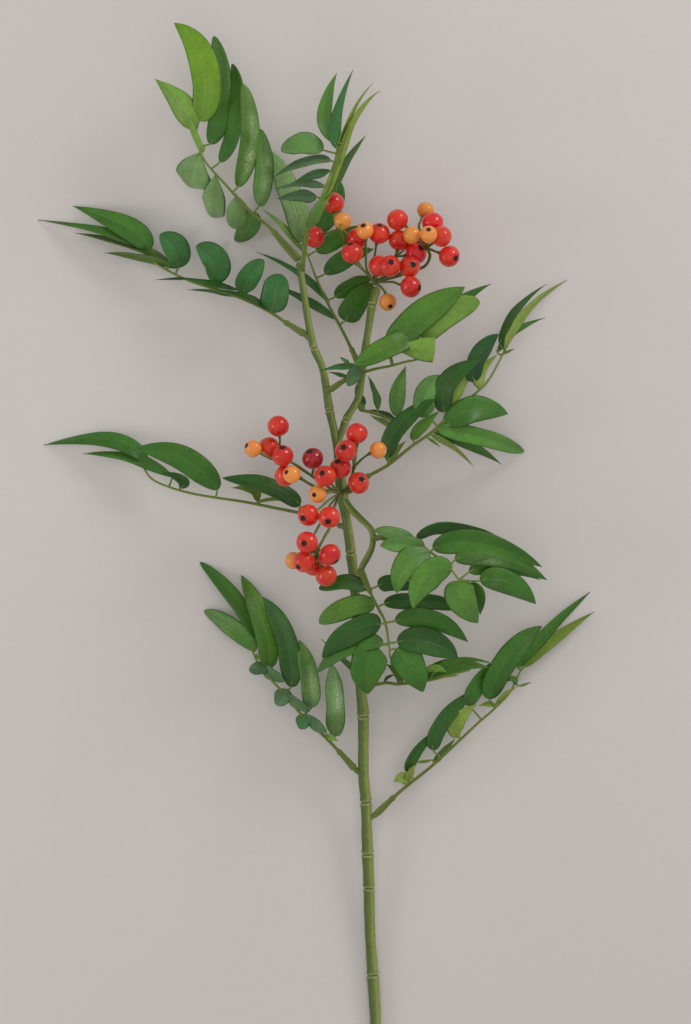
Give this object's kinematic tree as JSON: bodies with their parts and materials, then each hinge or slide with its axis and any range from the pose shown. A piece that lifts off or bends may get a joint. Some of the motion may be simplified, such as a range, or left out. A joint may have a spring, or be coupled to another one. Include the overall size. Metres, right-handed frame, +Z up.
{
  "type": "artificial rowan berry spray",
  "caption": "Moulded rowan spray with a jointed cut stem, feathered fronds of narrow leaflets and clusters of glossy red and orange berries, lying flat.",
  "frame": {"origin": "the middle of the spray's bounding box at the surface that it lies on", "axes": "+X to the right as the spray is seen from above, +Y along the stem from the cut end to the crown, +Z up from the surface"},
  "size_m": [0.3393, 0.6397, 0.0779],
  "materials": {
    "stem": "satin moulded plastic, olive green with ring grooves",
    "frond": "satin printed leaf, darker upper face and paler underside",
    "stalk": "satin moulded plastic, dull green",
    "berry_red": "glossy lacquered red with a dark calyx star",
    "berry_orange": "glossy lacquered orange with a dark calyx star"
  },
  "bodies": {
    "root": {"stem": "stem", "frond_crown": "frond", "frond_upper_left": "frond", "frond_crown_front": "frond", "frond_crown_back": "frond", "frond_upper_right": "frond", "frond_mid_right": "frond", "frond_mid_left": "frond", "frond_fan_right": "frond", "frond_fan_centre": "frond", "frond_side_small": "frond", "frond_base_right": "frond", "frond_base_left": "frond", "frond_hidden_small": "frond", "umbel_upper": "stalk", "umbel_lower": "stalk", "berry_upper_01": "berry_red", "berry_upper_02": "berry_orange", "berry_upper_03": "berry_red", "berry_upper_04": "berry_red", "berry_upper_05": "berry_orange", "berry_upper_06": "berry_red", "berry_upper_07": "berry_red", "berry_upper_08": "berry_red", "berry_upper_09": "berry_red", "berry_upper_10": "berry_red", "berry_upper_11": "berry_red", "berry_upper_12": "berry_red", "berry_upper_13": "berry_orange", "berry_upper_14": "berry_orange", "berry_upper_15": "berry_red", "berry_upper_16": "berry_orange", "berry_upper_17": "berry_red", "berry_upper_18": "berry_red", "berry_upper_19": "berry_red", "berry_upper_20": "berry_red", "berry_upper_21": "berry_red", "berry_upper_22": "berry_orange", "berry_lower_01": "berry_red", "berry_lower_02": "berry_red", "berry_lower_03": "berry_orange", "berry_lower_04": "berry_red", "berry_lower_05": "berry_red", "berry_lower_06": "berry_orange", "berry_lower_07": "berry_red", "berry_lower_08": "berry_red", "berry_lower_09": "berry_red", "berry_lower_10": "berry_red", "berry_lower_11": "berry_red", "berry_lower_12": "berry_orange", "berry_lower_13": "berry_red", "berry_lower_14": "berry_orange", "berry_lower_15": "berry_red", "berry_lower_16": "berry_red", "berry_lower_17": "berry_red", "berry_lower_18": "berry_red", "berry_lower_19": "berry_orange", "berry_lower_20": "berry_red", "berry_lower_21": "berry_red", "berry_lower_22": "berry_red"}
  },
  "joints": []
}
